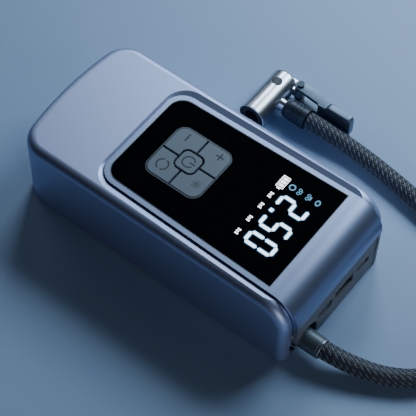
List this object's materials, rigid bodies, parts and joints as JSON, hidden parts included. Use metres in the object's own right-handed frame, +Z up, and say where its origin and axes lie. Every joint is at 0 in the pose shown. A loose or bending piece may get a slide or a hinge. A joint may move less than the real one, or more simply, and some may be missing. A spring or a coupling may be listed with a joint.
{
  "type": "portable tire inflator",
  "caption": "Palm-sized cordless tyre inflator with a glass display and key pad, end ports, corner vent and a short braided hose to a lever valve chuck.",
  "frame": {"origin": "under the middle of the housing (without the hose and chuck), on the surface that the feet stand on", "axes": "+Z up out of the display, +Y along the housing towards the port and hose end, +X to the right of a person reading the display"},
  "size_m": [0.1302, 0.229, 0.0425],
  "materials": {
    "shell": "satin metallic",
    "fascia": "satin metallic",
    "base": "fine texture",
    "foot_rubber": "matte",
    "glass": "black gloss",
    "key": "satin",
    "key_rim": "satin",
    "silicone": "matte",
    "circuit_board": "satin",
    "electronic_part": "satin",
    "socket_metal": "satin",
    "panel": "fine texture",
    "grille": "satin",
    "lamp_glass": "clear",
    "reflector": "polished",
    "led": "gloss",
    "cell_wrap": "shrink wrap",
    "holder": "moulded",
    "nickel": "bright",
    "steel": "satin",
    "motor_plastic": "moulded",
    "magnet": "plain",
    "brass": "satin",
    "casting": "cast",
    "piston_plastic": "moulded",
    "seal": "matte",
    "ring_metal": "knurled",
    "gunmetal": "dark anodised",
    "hose_braid": "braided",
    "chrome": "polished",
    "plunger_brass": "turned",
    "lever_black": "satin black"
  },
  "bodies": {
    "housing": {"upper_shell": "shell", "base_cover": "base", "feet": "foot_rubber", "base_screws": "steel", "fascia_frame": "fascia", "display_lens": "glass", "key_bezel": "key_rim", "key_mat": "silicone", "display_board": "circuit_board", "display_module": "electronic_part", "main_board": "circuit_board", "board_parts": "electronic_part", "port_board": "circuit_board", "usb_a_socket": "socket_metal", "usb_c_socket": "socket_metal", "end_panel": "panel", "vent_grille": "grille", "lamp_lens": "lamp_glass", "lamp_reflector": "reflector", "lamp_led": "led", "battery_cells": "cell_wrap", "battery_holder": "holder", "battery_tabs": "nickel", "motor_can": "steel", "motor_end_cap": "motor_plastic", "motor_magnets": "magnet", "gear_bush": "brass", "gearbox_bracket": "casting", "bracket_screws": "steel", "cylinder": "casting", "cylinder_head": "casting", "reed_valve": "steel", "air_pipe": "brass", "outlet_block": "brass", "pressure_sensor": "electronic_part", "outlet_ring": "ring_metal", "outlet_seal": "seal", "hose": "hose_braid", "chuck_ferrule": "gunmetal", "chuck_neck": "chrome", "chuck_barrel": "chrome", "chuck_gasket": "seal", "lever_pin": "steel"},
    "plus_key": {"key_plus": "key"},
    "minus_key": {"key_minus": "key"},
    "mode_key": {"key_mode": "key"},
    "lamp_key": {"key_lamp": "key"},
    "power_key": {"key_power": "key"},
    "rotor": {"motor_rotor": "magnet", "motor_shaft": "steel", "pinion": "brass"},
    "gear": {"drive_gear": "motor_plastic", "gear_shaft": "steel", "crank_pin": "steel"},
    "piston_rod": {"piston": "piston_plastic", "piston_seal": "seal", "connecting_rod": "piston_plastic"},
    "hose_nut": {"coupling_nut": "gunmetal"},
    "lever": {"chuck_lever": "lever_black"},
    "plunger": {"chuck_plunger": "plunger_brass"}
  },
  "joints": [
    {"name": "plus_key_press", "type": "slide", "parent": "housing", "child": "plus_key", "axis": [0, 0, -1], "range_m": [0, 0.0004], "stiffness_N_per_m": 400, "springref_m": -0.0005},
    {"name": "minus_key_press", "type": "slide", "parent": "housing", "child": "minus_key", "axis": [0, 0, -1], "range_m": [0, 0.0004], "stiffness_N_per_m": 400, "springref_m": -0.0005},
    {"name": "mode_key_press", "type": "slide", "parent": "housing", "child": "mode_key", "axis": [0, 0, -1], "range_m": [0, 0.0004], "stiffness_N_per_m": 400, "springref_m": -0.0005},
    {"name": "lamp_key_press", "type": "slide", "parent": "housing", "child": "lamp_key", "axis": [0, 0, -1], "range_m": [0, 0.0004], "stiffness_N_per_m": 400, "springref_m": -0.0005},
    {"name": "power_key_press", "type": "slide", "parent": "housing", "child": "power_key", "axis": [0, 0, -1], "range_m": [0, 0.0004], "stiffness_N_per_m": 400, "springref_m": -0.0005},
    {"name": "gear_spin", "type": "hinge", "parent": "housing", "child": "gear", "pos_m": [-0.0017, 0.032, 0.017], "axis": [0, 1, 0], "continuous": true},
    {"name": "rotor_spin", "type": "hinge", "parent": "housing", "child": "rotor", "pos_m": [-0.017, 0.01, 0.017], "axis": [0, 1, 0], "continuous": true},
    {"name": "piston_stroke", "type": "slide", "parent": "housing", "child": "piston_rod", "axis": [1, 0, 0], "range_m": [-0.01, 0]},
    {"name": "nut_turn", "type": "hinge", "parent": "housing", "child": "hose_nut", "pos_m": [0.0251, 0.08, 0.009], "axis": [0, 1, 0], "continuous": true},
    {"name": "lever_swing", "type": "hinge", "parent": "housing", "child": "lever", "pos_m": [-0.0883, -0.005, 0.0073], "axis": [0, 0, 1], "range_deg": [0, 90]},
    {"name": "plunger_slide", "type": "slide", "parent": "housing", "child": "plunger", "axis": [1, 0, 0], "range_m": [-0.0016, 0]}
  ],
  "couplings": [
    {"joint": "rotor_spin", "follows": "gear_spin", "ratio": -4.6667},
    {"joint": "plunger_slide", "follows": "lever_swing", "m_per_rad": -0.00095}
  ]
}
